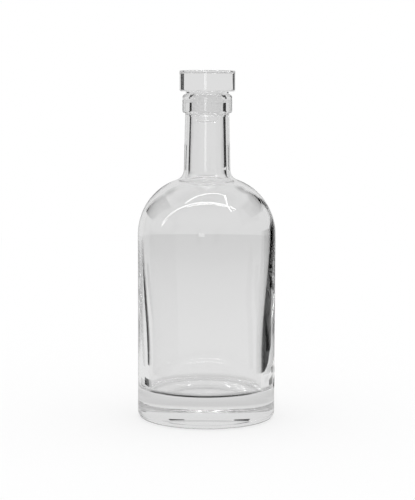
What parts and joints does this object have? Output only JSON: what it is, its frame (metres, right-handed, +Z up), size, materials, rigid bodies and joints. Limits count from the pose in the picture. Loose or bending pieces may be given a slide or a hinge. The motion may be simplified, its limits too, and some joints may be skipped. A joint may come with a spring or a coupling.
{
  "type": "glass decanter",
  "caption": "Round clear-glass decanter with a thick base, domed shoulder and straight neck, closed by a dished glass stopper on a clear seal.",
  "frame": {"origin": "on the decanter's axis, in the plane of the ring that it stands on", "axes": "+Z up along the axis; the piece is round, so X and Y are any two level directions"},
  "size_m": [0.093, 0.093, 0.2344],
  "materials": {
    "bottle_glass": "clear, fire-polished",
    "stopper_glass": "clear, polished",
    "seal_polymer": "clear, soft, slightly dull"
  },
  "bodies": {
    "root": {"bottle": "bottle_glass", "stopper": "stopper_glass", "stopper_seal": "seal_polymer"}
  },
  "joints": []
}
